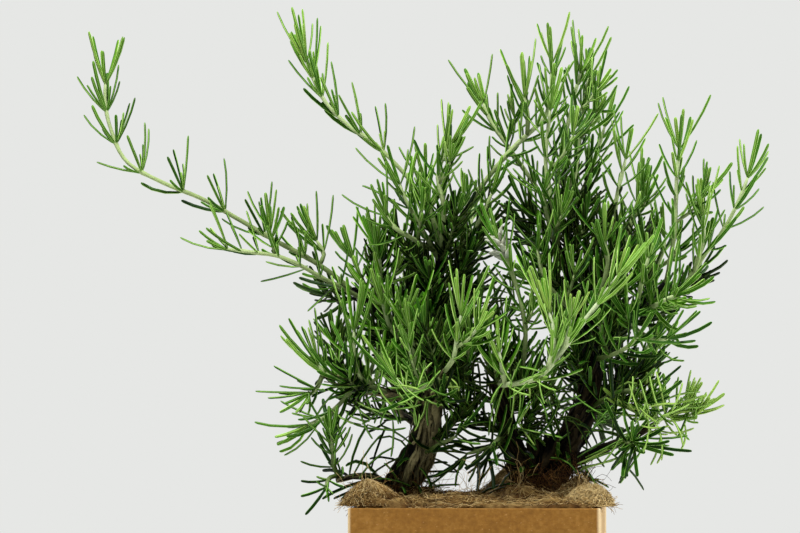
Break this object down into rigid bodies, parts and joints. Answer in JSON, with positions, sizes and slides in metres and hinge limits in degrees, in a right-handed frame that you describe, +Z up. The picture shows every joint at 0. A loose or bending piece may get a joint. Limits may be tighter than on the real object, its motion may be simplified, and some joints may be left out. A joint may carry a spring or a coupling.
{
  "type": "potted rosemary plant",
  "caption": "Bushy rosemary shrub with upright and arching needle-leaved shoots on two gnarled trunks, in a square brown planter topped with coir fibre.",
  "frame": {"origin": "centre of the planter's flat underside", "axes": "+Z up, +X to the right of the pictured front, -Y towards the viewer of the front"},
  "size_m": [0.4373, 0.1755, 0.4507],
  "materials": {
    "fibreboard": "matte",
    "potting_soil": "matte",
    "coir": "matte",
    "bark": "matte",
    "leaf": "satin"
  },
  "bodies": {
    "root": {"planter": "fibreboard", "soil": "potting_soil", "coir_mulch": "coir", "trunk_left": "bark", "trunk_right": "bark", "sprig_left_arch": "leaf", "sprig_left_reach": "leaf", "sprig_left_high": "leaf", "sprig_crown_front": "leaf", "sprig_crown_left": "leaf", "sprig_crown_back": "leaf", "sprig_crown_right": "leaf", "sprig_bridge": "leaf", "sprig_crossing": "leaf", "sprig_top_left": "leaf", "sprig_top_right": "leaf", "sprig_top_back": "leaf", "sprig_top_front": "leaf", "sprig_centre_rosette": "leaf", "sprig_right_centre": "leaf", "sprig_right_centre_back": "leaf", "sprig_right_tall": "leaf", "sprig_right_far": "leaf", "sprig_right_fan": "leaf", "sprig_right_low_fan": "leaf", "sprig_right_dark": "leaf", "sprig_right_pale": "leaf", "sprig_right_base": "leaf", "sprig_front_bright": "leaf", "sprig_front_left": "leaf", "sprig_dry_buds": "leaf", "sprig_left_bright": "leaf", "sprig_left_long": "leaf", "sprig_left_tail": "leaf", "sprig_left_droop": "leaf", "sprig_left_fall": "leaf", "sprig_mid_low_left": "leaf", "sprig_mid_low": "leaf", "sprig_mid_left": "leaf", "sprig_mid_left_up": "leaf", "sprig_mid_left_back": "leaf", "sprig_left_shoulder": "leaf", "sprig_left_shoulder_back": "leaf", "sprig_left_inner": "leaf", "sprig_centre_low": "leaf", "sprig_centre_mid": "leaf", "sprig_centre_high": "leaf", "sprig_right_inner": "leaf", "sprig_right_inner_mid": "leaf", "sprig_right_inner_back": "leaf", "sprig_right_inner_low": "leaf", "sprig_back_left": "leaf", "sprig_back_left_low": "leaf", "sprig_back_mid": "leaf", "sprig_back_right": "leaf", "sprig_back_right_low": "leaf", "sprig_back_low_mid": "leaf", "sprig_back_crown": "leaf"}
  },
  "joints": []
}
